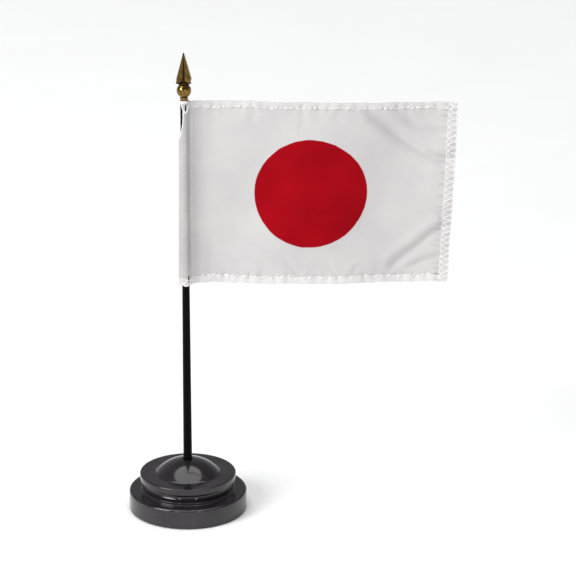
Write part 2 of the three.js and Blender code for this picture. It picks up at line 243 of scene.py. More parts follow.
def gilt_plating(name, dark, bright, rough_low, rough_high, painted_shade_mask=None):
    """Gold metallised over a moulding: it mirrors like metal and thins to brown where it is worn. Where a
    mask is given, painted shade darkens its colour there."""
    material, tree = new_finish(name)
    place = add_node(tree, "ShaderNodeTexCoord").outputs["Object"]
    cloud = add_node(tree, "ShaderNodeTexNoise", {"Vector": place, "Scale": per(2.2), "Detail": 4.0,
                                                  "Roughness": 0.6})
    tint = add_node(tree, "ShaderNodeValToRGB", {"Fac": cloud.outputs["Fac"]},
                    stops=((0.32, dark), (0.62, bright)))
    colour = tint.outputs["Color"]
    if painted_shade_mask:
        # painted shade: a dark brown mixed in where the mask is one, standing in for the shade in the
        # spear's valleys
        painted_shade_colour = linear("#1d1308")
        with_painted_shade = add_node(tree, "ShaderNodeMix", {0: painted_shade_mask(tree, place), 6: colour, 7: painted_shade_colour},
                          data_type="RGBA")
        colour = with_painted_shade.outputs[2]
    grain = add_node(tree, "ShaderNodeTexNoise", {"Vector": place, "Scale": per(0.45), "Detail": 3.0})
    rough = add_node(tree, "ShaderNodeMapRange", {"Value": grain.outputs["Fac"], "From Min": 0.3,
                                                  "From Max": 0.7, "To Min": rough_low,
                                                  "To Max": rough_high})
    bump = add_node(tree, "ShaderNodeBump", {"Height": grain.outputs["Fac"], "Strength": 0.2,
                                             "Distance": 0.04 * MM})
    shade = add_node(tree, "ShaderNodeBsdfPrincipled", {
        "Base Color": colour, "Metallic": 1.0, "Roughness": rough.outputs["Result"],
        "Normal": bump.outputs["Normal"]})
    add_node(tree, "ShaderNodeOutputMaterial", {"Surface": shade.outputs["BSDF"]})
    return material


def printed_polyester():
    """Plain woven polyester, bright white, with a red disc printed through to both faces. Its threads
    are 0.3 mm apart; they are drawn 0.7 mm apart, or they couldn't show at this size."""
    material, tree = new_finish("printed_polyester")
    flat = add_node(tree, "ShaderNodeUVMap", uv_map="flat").outputs["UV"]
    threads = {"Vector": flat, "Scale": bands(0.7), "Distortion": 0.6, "Detail": 1.0, "Detail Scale": 0.4}
    warp = add_node(tree, "ShaderNodeTexWave", threads, bands_direction="X")
    weft = add_node(tree, "ShaderNodeTexWave", threads, bands_direction="Y")
    weave = add_node(tree, "ShaderNodeMath", {0: warp.outputs["Fac"], 1: weft.outputs["Fac"]},
                     operation="MULTIPLY")
    slub = add_node(tree, "ShaderNodeMapping", {"Vector": flat, "Scale": (0.12, 1.0, 1.0)})
    slubs = add_node(tree, "ShaderNodeTexNoise", {"Vector": slub.outputs["Vector"], "Scale": per(1.1),
                                                  "Detail": 3.0})
    cloud = add_node(tree, "ShaderNodeTexNoise", {"Vector": flat, "Scale": per(26), "Detail": 2.0})
    white = add_node(tree, "ShaderNodeValToRGB", {"Fac": cloud.outputs["Fac"]},
                     stops=((0.3, "#cdcacb"), (0.7, "#d5d3d2")))
    ink = add_node(tree, "ShaderNodeValToRGB", {"Fac": cloud.outputs["Fac"]},
                   stops=((0.3, "#950010"), (0.7, "#a80214")))
    bleed = add_node(tree, "ShaderNodeTexNoise", {"Vector": flat, "Scale": per(2.5), "Detail": 2.0})
    middle = (sleeve_length() + DISC_FROM_ROD - SEAM_X) * MM
    away = add_node(tree, "ShaderNodeVectorMath", {0: flat, 1: (middle, -DROP / 2 * MM, 0)},
                    operation="DISTANCE")
    ragged = add_node(tree, "ShaderNodeMath", {0: bleed.outputs["Fac"], 1: 0.35 * MM,
                                               2: away.outputs["Value"]}, operation="MULTIPLY_ADD")
    disc = add_node(tree, "ShaderNodeMapRange", {
        "Value": ragged.outputs["Value"], "From Min": DISC_RADIUS * MM,
        "From Max": (DISC_RADIUS + 0.3) * MM, "To Min": 1.0, "To Max": 0.0})
    print_mix = add_node(tree, "ShaderNodeMix", {0: disc.outputs["Result"], 6: white.outputs["Color"],
                                                 7: ink.outputs["Color"]}, data_type="RGBA")
    thread_tone = add_node(tree, "ShaderNodeMapRange", {"Value": slubs.outputs["Fac"], "From Min": 0.3,
                                                        "From Max": 0.7, "To Min": 0.975, "To Max": 1.0})
    # three layers in a hem let less through than one, so they look whiter
    hem = add_node(tree, "ShaderNodeAttribute", attribute_name="hem")
    layered = add_node(tree, "ShaderNodeMapRange", {"Value": hem.outputs["Fac"], "To Min": 0.88,
                                                    "To Max": 1.06})
    # the sleeve's cloth is coloured greyer round the rod, partly for the black rod showing through the thin
    # sleeve and partly as painted shade
    across = add_node(tree, "ShaderNodeSeparateXYZ", {0: flat})
    sleeve_darkening = add_node(tree, "ShaderNodeMapRange", {
        "Value": across.outputs["X"], "From Min": (sleeve_length() - 2.2) * MM,
        "From Max": sleeve_length() * MM, "To Min": 0.8, "To Max": 1.0})
    tone_with_sleeve_shade = add_node(tree, "ShaderNodeMath", {0: thread_tone.outputs["Result"],
                                               1: sleeve_darkening.outputs["Result"]}, operation="MULTIPLY")
    tone = add_node(tree, "ShaderNodeMath", {0: tone_with_sleeve_shade.outputs["Value"], 1: layered.outputs["Result"]},
                    operation="MULTIPLY")
    toned = add_node(tree, "ShaderNodeVectorMath", {0: print_mix.outputs[2], 1: tone.outputs["Value"]},
                     operation="MULTIPLY")
    relief = add_node(tree, "ShaderNodeMath", {0: slubs.outputs["Fac"], 1: 0.6, 2: weave.outputs["Value"]},
                      operation="MULTIPLY_ADD")
    bump = add_node(tree, "ShaderNodeBump", {"Height": relief.outputs["Value"], "Strength": 0.3,
                                             "Distance": 0.06 * MM})
    nap = add_node(tree, "ShaderNodeMapRange", {"Value": slubs.outputs["Fac"], "From Min": 0.3,
                                                "From Max": 0.7, "To Min": 0.62, "To Max": 0.8})
    shade = add_node(tree, "ShaderNodeBsdfPrincipled", {
        "Base Color": toned.outputs["Vector"], "Roughness": nap.outputs["Result"], "IOR": 1.46,
        "Specular IOR Level": 0.06, "Sheen Weight": 0.02, "Sheen Roughness": 0.4,
        "Normal": bump.outputs["Normal"]})
    add_node(tree, "ShaderNodeOutputMaterial", {"Surface": shade.outputs["BSDF"]})
    return material


def polyester_thread():
    """Twisted white sewing thread: whiter and a little shinier than the cloth, with its plies as fine
    slanting ribs."""
    material, tree = new_finish("polyester_thread")
    place = add_node(tree, "ShaderNodeTexCoord").outputs["Object"]
    plies = add_node(tree, "ShaderNodeTexWave", {"Vector": place, "Scale": bands(0.35), "Distortion": 1.0,
                                                 "Detail": 1.0}, bands_direction="DIAGONAL")
    tint = add_node(tree, "ShaderNodeValToRGB", {"Fac": plies.outputs["Fac"]},
                    stops=((0, "#dad7d8"), (1, "#edebeb")))
    bump = add_node(tree, "ShaderNodeBump", {"Height": plies.outputs["Fac"], "Strength": 0.4,
                                             "Distance": 0.05 * MM})
    shade = add_node(tree, "ShaderNodeBsdfPrincipled", {
        "Base Color": tint.outputs["Color"], "Roughness": 0.5, "IOR": 1.5, "Sheen Weight": 0.2,
        "Normal": bump.outputs["Normal"]})
    add_node(tree, "ShaderNodeOutputMaterial", {"Surface": shade.outputs["BSDF"]})
    return material


def matt_black_plate():
    """Spark-eroded mould texture on ABS: dark grey, matt, finely pebbled."""
    material, tree = new_finish("matt_black_plate")
    place = add_node(tree, "ShaderNodeTexCoord").outputs["Object"]
    pebble = add_node(tree, "ShaderNodeTexNoise", {"Vector": place, "Scale": per(0.5), "Detail": 3.0})
    tint = add_node(tree, "ShaderNodeValToRGB", {"Fac": pebble.outputs["Fac"]},
                    stops=((0, "#1f1f20"), (1, "#2c2c2e")))
    bump = add_node(tree, "ShaderNodeBump", {"Height": pebble.outputs["Fac"], "Strength": 0.4,
                                             "Distance": 0.1 * MM})
    shade = add_node(tree, "ShaderNodeBsdfPrincipled", {
        "Base Color": tint.outputs["Color"], "Roughness": 0.6, "IOR": 1.54,
        "Normal": bump.outputs["Normal"]})
    add_node(tree, "ShaderNodeOutputMaterial", {"Surface": shade.outputs["BSDF"]})
    return material


def pressed_felt():
    """Black needled felt: fully matt, with short crossing fibres about 0.3 mm across."""
    material, tree = new_finish("pressed_felt")
    place = add_node(tree, "ShaderNodeTexCoord").outputs["Object"]
    fibre = add_node(tree, "ShaderNodeTexNoise", {"Vector": place, "Scale": per(0.6), "Detail": 6.0,
                                                  "Roughness": 0.75, "Distortion": 1.5})
    tint = add_node(tree, "ShaderNodeValToRGB", {"Fac": fibre.outputs["Fac"]},
                    stops=((0, "#131314"), (1, "#2b2b2d")))
    bump = add_node(tree, "ShaderNodeBump", {"Height": fibre.outputs["Fac"], "Strength": 0.8,
                                             "Distance": 0.2 * MM})
    shade = add_node(tree, "ShaderNodeBsdfPrincipled", {
        "Base Color": tint.outputs["Color"], "Roughness": 0.95, "Sheen Weight": 0.4, "Sheen Roughness": 0.6,
        "Normal": bump.outputs["Normal"]})
    add_node(tree, "ShaderNodeOutputMaterial", {"Surface": shade.outputs["BSDF"]})
    return material


def rough_cast_iron():
    """Sand-cast grey iron: dark, dull metal with a grainy skin and a few rusty patches."""
    material, tree = new_finish("rough_cast_iron")
    place = add_node(tree, "ShaderNodeTexCoord").outputs["Object"]
    sand = add_node(tree, "ShaderNodeTexNoise", {"Vector": place, "Scale": per(0.7), "Detail": 5.0})
    patch = add_node(tree, "ShaderNodeTexNoise", {"Vector": place, "Scale": per(7), "Detail": 3.0})
    tint = add_node(tree, "ShaderNodeValToRGB", {"Fac": patch.outputs["Fac"]},
                    stops=((0.5, "#565452"), (0.75, "#5c4536")))
    bump = add_node(tree, "ShaderNodeBump", {"Height": sand.outputs["Fac"], "Strength": 0.8,
                                             "Distance": 0.2 * MM})
    shade = add_node(tree, "ShaderNodeBsdfPrincipled", {
        "Base Color": tint.outputs["Color"], "Metallic": 0.8, "Roughness": 0.7,
        "Normal": bump.outputs["Normal"]})
    add_node(tree, "ShaderNodeOutputMaterial", {"Surface": shade.outputs["BSDF"]})
    return material


def studio_floor():
    """Matt white paper sweep with the faintest mottling."""
    material, tree = new_finish("studio_floor")
    place = add_node(tree, "ShaderNodeTexCoord").outputs["Object"]
    mottle = add_node(tree, "ShaderNodeTexNoise", {"Vector": place, "Scale": per(60), "Detail": 3.0})
    tint = add_node(tree, "ShaderNodeValToRGB", {"Fac": mottle.outputs["Fac"]},
                    stops=((0, "#f3f3f3"), (1, "#f7f7f7")))
    shade = add_node(tree, "ShaderNodeBsdfPrincipled", {"Base Color": tint.outputs["Color"],
                                                        "Roughness": 0.9})
    add_node(tree, "ShaderNodeOutputMaterial", {"Surface": shade.outputs["BSDF"]})
    return material


# ---------------------------------------------------------------- ways of working

def clear():
    """Nothing stays selected, so the next operator meets only the new piece."""
    if bpy.context.mode != "OBJECT":
        bpy.ops.object.mode_set(mode="OBJECT")
    bpy.ops.object.select_all(action="DESELECT")


def pick(piece):
    """This piece alone is selected and active."""
    clear()
    piece.select_set(True)
    bpy.context.view_layer.objects.active = piece


def choose(piece, test, kind="VERT"):
    """In edit mode, selects the points, edges or faces that pass the test, and says how many."""
    bpy.ops.mesh.select_mode(type=kind)
    bpy.ops.mesh.select_all(action="DESELECT")
    mesh = bmesh.from_edit_mesh(piece.data)
    parts = {"VERT": mesh.verts, "EDGE": mesh.edges, "FACE": mesh.faces}[kind]
    parts.ensure_lookup_table()
    found = [p for p in parts if test(p)]
    for p in found:
        p.select_set(True)
    mesh.select_flush_mode()
    bmesh.update_edit_mesh(piece.data)
    return len(found)


def arc(centre_r, centre_z, radius, start, end, steps):
    """Points of a rounded profile, (radius, height), from one angle to another in degrees."""
    points = []
    for i in range(steps + 1):
        angle = math.radians(start + (end - start) * i / steps)
        points.append((centre_r + radius * math.cos(angle), centre_z + radius * math.sin(angle)))
    return points


def first_ring(around, radius, height):
    """A new piece that is one ring of points round the axis, all of it selected in edit mode."""
    clear()
    bpy.ops.mesh.primitive_circle_add(vertices=around, radius=radius * MM, location=(0, 0, height * MM))
    bpy.ops.object.transform_apply(location=True, rotation=True, scale=True)
    bpy.ops.object.mode_set(mode="EDIT")
    bpy.ops.mesh.select_mode(type="EDGE")
    bpy.ops.mesh.select_all(action="SELECT")
    return bpy.context.object


def raise_ring(radius, height, next_radius, next_height):
    """Extrudes the selected ring to its next height, and widens it there."""
    rise = (next_height - height) * MM
    bpy.ops.mesh.extrude_edges_move(TRANSFORM_OT_translate={"value": (0, 0, rise)})
    if abs(next_radius - radius) > 1e-9:
        ratio = next_radius / radius
        bpy.ops.transform.resize(value=(ratio, ratio, 1), center_override=(0, 0, next_height * MM))


def close_ring(rise=0):
    """Closes the selected ring at one point on the axis, so many millimetres above it."""
    bpy.ops.mesh.extrude_edges_move(TRANSFORM_OT_translate={"value": (0, 0, rise * MM)})
    bpy.ops.mesh.merge(type="CENTER")


def finish_mesh(gap):
    """Merges points that are nearer than the gap in metres, turns every face outwards and leaves
    edit mode."""
    bpy.ops.mesh.select_all(action="SELECT")
    bpy.ops.mesh.remove_doubles(threshold=gap)
    bpy.ops.mesh.normals_make_consistent(inside=False)
    bpy.ops.object.mode_set(mode="OBJECT")


def turned(name, rings, around, ends):
    """A ring of points extruded and widened step by step, as work on a lathe. Its ends are joined
    to each other, or each is closed at the axis."""
    radius, height = rings[0]
    piece = first_ring(around, radius, height)
    piece.name = name
    piece.data.name = name
    if ends == "axis":
        close_ring()
        choose(piece, lambda e: e.is_boundary, "EDGE")
    for next_radius, next_height in rings[1:]:
        raise_ring(radius, height, next_radius, next_height)
        radius, height = next_radius, next_height
    if ends == "axis":
        close_ring()
    else:
        choose(piece, lambda e: e.is_boundary, "EDGE")
        bpy.ops.mesh.bridge_edge_loops()
    finish_mesh(1e-7)
    return piece


def smooth(piece, angle):
    """Soft shading over every edge that bends less than this many degrees."""
    pick(piece)
    bpy.ops.object.shade_smooth_by_angle(angle=math.radians(angle))


def done(piece, body, material, slot, *nodes):
    """Gives a finished piece its material and its place among the bodies."""
    if material is not None:
        piece.data.materials.clear()
        piece.data.materials.append(material)
    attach(piece, body)
    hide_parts(*nodes)
    return piece


def sewn(name, runs, radius):
    """Runs of round thread, each a list of points in millimetres, as one mesh."""
    line = bpy.data.curves.new(name, "CURVE")
    line.dimensions = "3D"
    line.bevel_depth = radius * MM
    line.bevel_resolution = 2
    line.use_fill_caps = True
    for run in runs:
        spline = line.splines.new("POLY")
        spline.points.add(len(run) - 1)
        for point, place in zip(spline.points, run):
            point.co = (place[0] * MM, place[1] * MM, place[2] * MM, 1)
    piece = bpy.data.objects.new(name, line)
    bpy.context.scene.collection.objects.link(piece)
    pick(piece)
    bpy.ops.object.convert(target="MESH")
    piece = bpy.context.object
    bpy.ops.object.mode_set(mode="EDIT")
    finish_mesh(1e-6)
    smooth(piece, 60)
    return piece


# ---------------------------------------------------------------- the base

def base_tier(material):
    """The wide lower moulding: wall, rounded shoulder, flat ring, ledge and half of the groove."""
    rings = [(TIER_RADIUS - SMALL_ROUND, TIER_FOOT), (TIER_RADIUS, TIER_FOOT + SMALL_ROUND)]
    rings += [(TIER_RADIUS, 4.0), (TIER_RADIUS, 7.5)]
    rings += arc(TIER_RADIUS - SHOULDER, RING_TOP - SHOULDER, SHOULDER, 0, 90, 8)
    rings += [(29.5, RING_TOP), (27.5, RING_TOP)]
    rings += arc(LEDGE_RADIUS + FILLET, RING_TOP + FILLET, FILLET, 270, 180, 4)
    rings += arc(LEDGE_RADIUS - SMALL_ROUND, LEDGE_TOP - SMALL_ROUND, SMALL_ROUND, 0, 90, 5)
    rings += arc(GROOVE_CENTRE, TIER_SEAM, GROOVE_RADIUS, 270, 180, 10)
    rings += [(BORE_RADIUS, TIER_SEAM), (BORE_RADIUS, BORE_CEILING)]
    rings += [(TIER_RADIUS - WALL, BORE_CEILING), (TIER_RADIUS - WALL, TIER_FOOT)]
    piece = turned("base_tier", rings, BASE_SIDES, "ring")
    smooth(piece, 28)
    return done(piece, "base", material, "black_gloss_plastic", "lower_tier")


def base_dome(material):
    """The upper moulding: the other half of the groove, the disc, the dome and the socket."""
    rise = CAP_APEX - DISC_TOP
    sphere = (DOME_FOOT ** 2 + rise ** 2) / (2 * rise)
    centre = CAP_APEX - sphere
    foot = math.degrees(math.asin((DISC_TOP - centre) / sphere))
    brim = math.degrees(math.acos((HOLE_RADIUS + FILLET) / sphere))
    under_disc = TIER_SEAM + GROOVE_RADIUS
    rings = arc(GROOVE_CENTRE, TIER_SEAM, GROOVE_RADIUS, 180, 90, 10)
    rings += arc(CAP_RADIUS - SMALL_ROUND, under_disc + SMALL_ROUND, SMALL_ROUND, 270, 360, 4)
    rings += arc(CAP_RADIUS - RIM, DISC_TOP - RIM, RIM, 0, 90, 7)
    rings += [(24.0, DISC_TOP), (21.0, DISC_TOP)]
    rings += [(DOME_FOOT + 0.5, DISC_TOP), (DOME_FOOT + 0.2, DISC_TOP + 0.03)]
    rings += arc(0, centre, sphere, foot + 0.5, brim, 22)
    top = rings[-1][1]
    rings += [(HOLE_RADIUS + 0.12, top - 0.08), (HOLE_RADIUS, top - 0.36), (HOLE_RADIUS, 20.0)]
    rings += [(HOLE_RADIUS, SOCKET_FOOT), (SOCKET_RADIUS, SOCKET_FOOT)]
    rings += [(SOCKET_RADIUS, DISC_TOP - WALL), (SPIGOT_RADIUS - SPIGOT_WALL, DISC_TOP - WALL)]
    rings += [(SPIGOT_RADIUS - SPIGOT_WALL, SPIGOT_FOOT), (SPIGOT_RADIUS, SPIGOT_FOOT)]
    rings += [(SPIGOT_RADIUS, TIER_SEAM)]
    piece = turned("base_dome", rings, BASE_SIDES, "ring")
    smooth(piece, 28)
    return done(piece, "base", material, "black_gloss_plastic", "domed_cap")


# ---------------------------------------------------------------- the rod and its head

def staff(material):
    """The tapered rod with its rounded foot, and a fine parting line down each side."""
    rings = [(0.5, ROD_FOOT)] + arc(ROD_RADIUS - 1, ROD_FOOT + 1, 1, 270, 360, 6)
    for i in range(1, 13):
        share = i / 12
        rings.append((ROD_RADIUS + (ROD_TIP_RADIUS - ROD_RADIUS) * share,
                      ROD_FOOT + 1 + (ROD_TAPER_END - ROD_FOOT - 1) * share))
    rings += [(ROD_TIP_RADIUS, z) for z in (150, 175, 200, 220, HEAD_FOOT - 0.3)]
    rings += [(ROD_TIP_RADIUS - 0.2, HEAD_FOOT), (1.2, HEAD_FOOT), (1.2, HEAD_FOOT + 5)]
    piece = turned("staff", rings, 48, "axis")
    bpy.ops.object.mode_set(mode="EDIT")
    side = math.cos(math.radians(6))

    def at_parting(f):
        return abs(f.normal.x) > side and 10 * MM < f.calc_center_median().z < (HEAD_FOOT - 2) * MM

    choose(piece, at_parting, "FACE")
    bpy.ops.mesh.inset(thickness=0.05 * MM, depth=0.05 * MM)
    bpy.ops.object.mode_set(mode="OBJECT")
    smooth(piece, 40)
    return done(piece, "rod", material, "black_rod_plastic", "rod")


def gilt_head(polished, dull_shaded_gilt, with_painted_shade):
    """Collar, ball and neck turned in one, with the four-sided spear on the neck. Painted shade, a darkened
    gilt, goes under the spear and in the corners above and below the ball."""
    low = math.degrees(math.acos(COLLAR_RADIUS / BALL_RADIUS))
    high = math.degrees(math.acos(NECK_RADIUS / BALL_RADIUS))
    start = BALL_HEIGHT - BALL_RADIUS * math.sin(math.radians(low))
    rings = [(1.3, HEAD_FOOT), (COLLAR_RADIUS - 0.2, HEAD_FOOT), (COLLAR_RADIUS, HEAD_FOOT + 0.2)]
    rings += [(COLLAR_RADIUS, start - 0.25), (COLLAR_RADIUS + 0.08, start)]
    rings += arc(0, BALL_HEIGHT, BALL_RADIUS, -low + 3, high - 3, 26)
    rings += [(NECK_RADIUS + 0.05, BALL_HEIGHT + BALL_RADIUS * math.sin(math.radians(high)) + 0.12)]
    rings += [(NECK_RADIUS, SPEAR_FOOT), (NECK_RADIUS - 0.3, SPEAR_FOOT + 1.2)]
    ball = turned("gilt_head", rings, 64, "axis")
    for finish in (polished, dull_shaded_gilt, with_painted_shade):
        ball.data.materials.append(finish)

    radius, height = NECK_RADIUS - 0.6, SPEAR_FOOT
    spear = first_ring(8, radius, height)
    bpy.ops.mesh.edge_face_add()
    choose(spear, lambda e: True, "EDGE")

    def move_valleys(pull, rise):
        """Draws the ring's four valleys in and moves them up, and leaves the whole ring selected."""
        mesh = bmesh.from_edit_mesh(spear.data)
        ring = {e.index for e in mesh.edges if e.select}
        valleys = {v.index for v in mesh.verts if v.select and min(abs(v.co.x), abs(v.co.y)) < 1e-6}
        choose(spear, lambda v: v.index in valleys)
        bpy.ops.transform.resize(value=(pull, pull, 1), center_override=(0, 0, 0))
        bpy.ops.transform.translate(value=(0, 0, rise * MM))
        choose(spear, lambda e: e.index in ring, "EDGE")

    # each ring has its radius and height, and how its valleys are drawn in and moved up; most of the
    # lip's arch has died out by the third ring
    blade = SPEAR_TIP - SPEAR_POINT - SPEAR_LIP - SPEAR_EDGE
    rings = [(SPEAR_RADIUS, SPEAR_LIP, SPEAR_VALLEY / SPEAR_RADIUS, SPEAR_ARCH),
             (SPEAR_RADIUS, SPEAR_LIP + SPEAR_EDGE, 1, 0)]
    for share, rise in ((0.33, -SPEAR_ARCH * 0.75), (0.66, 0), (0.955, 0)):
        rings.append((SPEAR_RADIUS * (1 - share) + 0.3 * share, SPEAR_LIP + SPEAR_EDGE + blade * share,
                      1, rise))
    for next_radius, next_height, pull, rise in rings:
        raise_ring(radius, height, next_radius, next_height)
        if rise:
            move_valleys(pull, rise)
        radius, height = next_radius, next_height
    close_ring(SPEAR_POINT)

    def runs_up(e):
        low, high = sorted(v.co.z for v in e.verts)
        return high - low > 3 * MM and low > (SPEAR_LIP - 0.1) * MM

    choose(spear, runs_up, "EDGE")
    bpy.ops.mesh.bevel(offset=RIB_BEVEL * MM, segments=3, affect="EDGES")
    finish_mesh(1e-6)
    for finish in (polished, dull_shaded_gilt, with_painted_shade):
        spear.data.materials.append(finish)
    # painted shade: the spear's downward faces and the ball's bands by the neck and the collar take the
    # darkened gilt
    for face in spear.data.polygons:
        face.material_index = 2 if face.normal.z < -0.2 else 1
    for face in ball.data.polygons:
        above = face.center.z / MM - BALL_HEIGHT
        if above > BALL_CORNER or -BALL_CORNER_END < above < -BALL_CORNER:
            face.material_index = 2
    pick(ball)
    spear.select_set(True)
    bpy.ops.object.join()
    smooth(ball, 24)
    return done(ball, "rod", None, "gilt_plastic", "spear_head")


# ---------------------------------------------------------------- the flag

# Each crease runs through points (from the rod, below the top), with its depth, its half width and
# how far it takes to fade at its two ends.
CREASES = [
    ([(90, 1), (103, 11), (115, 21), (126, 28.5), (134, 31.5), (144, 32)], 2.0, 3.4, 16, 8),
    ([(112, 8), (124, 15), (138.5, 19)], 0.8, 2.4, 9, 6),
    ([(106, 95.5), (113, 88.5), (121, 82), (129, 75), (138, 68.5)], 1.0, 2.4, 7, 2),
    ([(115, 94.5), (126, 89.5), (138, 85.5)], 0.55, 1.7, 4, 3),
    ([(123, 29), (132, 31.8), (140, 31.8)], 0.7, 1.6, 6, 2),
    ([(22, 86), (30, 92.5), (37, 99)], 0.45, 1.6, 5, 2),
    ([(50, 85.5), (56, 91.5), (62, 99)], 0.4, 1.5, 5, 2),
    ([(74, 90), (78, 94), (80, 99)], 0.25, 1.4, 4, 2),
    ([(88, 99), (90, 93), (94, 89)], 0.25, 1.3, 2, 5),
    ([(12, 99), (13, 88), (15, 74)], 0.15, 2.0, 2, 9),
    ([(61, 1), (62, 10), (60, 20)], 0.25, 2.2, 2, 9),
    ([(81, 1), (80, 8), (83, 17)], 0.22, 2.0, 2, 8),
    ([(38, 1), (36, 9), (37, 17)], 0.22, 1.8, 2, 8),
]


def crease(x, v, points, depth, width, fade_in, fade_out):
    """How far a crease pushes the cloth back, with a soft ridge standing forward above it."""
    best = np.full(np.shape(x), 1e9)
    side = np.zeros(np.shape(x))
    along = np.zeros(np.shape(x))
    walked = 0.0
    for (ax, av), (bx, bv) in zip(points, points[1:]):
        length = math.hypot(bx - ax, bv - av)
        dx, dv = (bx - ax) / length, (bv - av) / length
        step = (x - ax) * dx + (v - av) * dv
        inside = np.clip(step, 0, length)
        away = np.hypot(x - ax - inside * dx, v - av - inside * dv)
        nearer = away < best
        best = np.where(nearer, away, best)
        side = np.where(nearer, np.sign((v - av) * abs(dx) - (x - ax) * dv * np.sign(dx or 1)), side)
        along = np.where(nearer, walked + inside, along)
        walked += length
    fade = np.clip(along / fade_in, 0, 1) * np.clip((walked - along) / fade_out, 0, 1)
    fade = fade * fade * (3 - 2 * fade)
    off = best * side
    trough = np.exp(-(off / width) ** 2)
    ridge = np.exp(-((off + 1.9 * width) / (1.5 * width)) ** 2)
    return depth * fade * (trough - 0.75 * ridge)


def pinches(seed, length, low, high):
    """Places along a hem where the stitches pull it in, at uneven steps."""
    pick_step = random.Random(seed)
    places, at = [], 1.5
    while at < length:
        places.append((at, pick_step.uniform(0.5, 1.0)))
        at += pick_step.uniform(low, high)
    return places


TOP_PINCHES = pinches(3, REACH, 3.2, 7.5)
BOTTOM_PINCHES = pinches(8, REACH, 3.0, 7.0)
SLEEVE_PUCKERS = pinches(15, DROP, 4.0, 11.0)
FLY_PINCHES = [(1.5 + ZIGZAG * i, random.Random(40 + i).uniform(0.3, 1.0)) for i in range(ZIGZAGS)]


def drawn_in(at, places, reach):
    """The pull of the nearest stitches, from 0 to 1."""
    total = np.zeros(np.shape(at))
    for place, strength in places:
        total = np.maximum(total, strength * np.exp(-((at - place) / reach) ** 2))
    return total


def wander(at, seed, size):
    """A slow uneven wave about nought, made of four sines."""
    step = random.Random(seed)
    total = 0
    for wavelength in (7, 13, 23, 41):
        total = total + np.sin(2 * math.pi * (at / (wavelength * step.uniform(0.85, 1.15)) + step.random()))
    return total * size / 2


def hang(u, v):
    """Where a point of the flat panel hangs: u from the sleeve seam to the fly, v down from the top."""
    u = np.asarray(u, float)
    v = np.asarray(v, float)
    a, b = u / REACH, v / DROP
    x = SEAM_X + u * (1 - FLY_LEAN / REACH * np.clip(b, 0, 1) ** 1.2)
    top = FLAG_TOP - 0.35 - 0.7 * a + wander(u, 5, 0.16)
    bottom = FLAG_FOOT + 0.25 + 1.2 * a ** 2 + wander(u, 6, 0.16)
    z = top + (bottom - top) * b
    x = x + wander(v, 7, 0.1) * a ** 6
    # three half waves from rod to fly, the cloth's step back beside the sleeve, and a slanting sway
    y = WAVE * np.sin(3 * math.pi * (x - WAVE_START) / WAVE_SPAN + 0.5 * (b - 0.5))
    y = y + 2.3 * (1 - np.exp(-u / 2.6)) * np.exp(-u / 24)
    y = y + 0.5 * np.sin(2 * math.pi * (x / 61 + v / 83)) * np.clip(u / 25, 0, 1)
    for line in CREASES:
        y = y + crease(x, v, *line)
    # the stitches' pull just inside each hem, and each free edge's own flutter
    below = DROP - v
    y = y + 0.5 * drawn_in(u, TOP_PINCHES, 1.0) * np.exp(-((v - TOP_HEM + 0.4) / 1.5) ** 2)
    y = y + 0.6 * drawn_in(u, BOTTOM_PINCHES, 1.0) * np.exp(-((below - BOTTOM_HEM + 0.4) / 1.6) ** 2)
    inland = REACH - u
    y = y + 1.0 * drawn_in(v, FLY_PINCHES, 0.6) * np.exp(-((inland - FLY_HEM - 0.8) / 2.4) ** 2)
    y = y + wander(u, 11, 0.25) * np.exp(-v / 5) + wander(u, 12, 0.3) * np.exp(-below / 6)
    y = y + wander(v, 13, 0.35) * np.exp(-inland / 7)
    start = np.exp(-u / 1.2)
    return x, y * (1 - start) + SEAM_Y * start, z


def sleeve_path():
    """The cloth's way round the rod, seen from above: from the raw edge behind the panel, round the
    back of the rod and its front, then straight down its flank to the seam."""
    touch = math.acos(SLEEVE_RADIUS / SEAM_X)
    points = [(SEAM_X + 3.2, 2.6), (SEAM_X + 1.5, 1.9), (SEAM_X + 0.4, 1.1)]
    steps = 28
    for i in range(steps + 1):
        angle = touch + (math.radians(FLANK) - touch) * i / steps
        points.append((SLEEVE_RADIUS * math.cos(angle), SLEEVE_RADIUS * math.sin(angle)))
    bend_x, bend_y = points[-1]
    steps = 5
    for i in range(1, steps + 1):
        points.append((bend_x + (SEAM_X - bend_x) * i / steps, bend_y + (SEAM_Y - bend_y) * i / steps))
    return points


def sleeve_length():
    """The cloth that the sleeve takes up, in millimetres."""
    points = sleeve_path()
    return sum(math.dist(a, b) for a, b in zip(points, points[1:]))


def spaced(*spans):
    """Grid lines over spans of (end, step), from nought."""
    lines, start = [0.0], 0.0
    for end, step in spans:
        count = max(1, round((end - start) / step))
        lines += [start + (end - start) * i / count for i in range(1, count + 1)]
        start = end
    return np.array(lines)


def hem_fullness(u, v):
    """How thick the cloth is against its thickest: full in the rolled hems, thin between them."""
    below, inland = DROP - v, REACH - u

    def roll(depth, width):
        edge = np.clip((width - depth) / 0.35, 0, 1)
        return edge * (0.72 + 0.28 * np.sin(math.pi * np.clip(depth / width, 0, 1)))

    slanting = 0.8 + 0.2 * np.sin(2 * math.pi * (u / 3.1 + v / 3.6) + 1.8 * np.sin(u / 7.3))
    full = slanting * np.maximum(roll(v, TOP_HEM) * (1 - 0.3 * drawn_in(u, TOP_PINCHES, 1.1)),
                                 roll(below, BOTTOM_HEM) * (1 - 0.3 * drawn_in(u, BOTTOM_PINCHES, 1.1)))
    puffs = 0.6 + 0.4 * np.sin(2 * math.pi * v / ZIGZAG + np.where(inland > FLY_HEM / 2, 0.0, math.pi))
    return np.clip(np.maximum(full, roll(inland, FLY_HEM) * puffs), 0, 1)


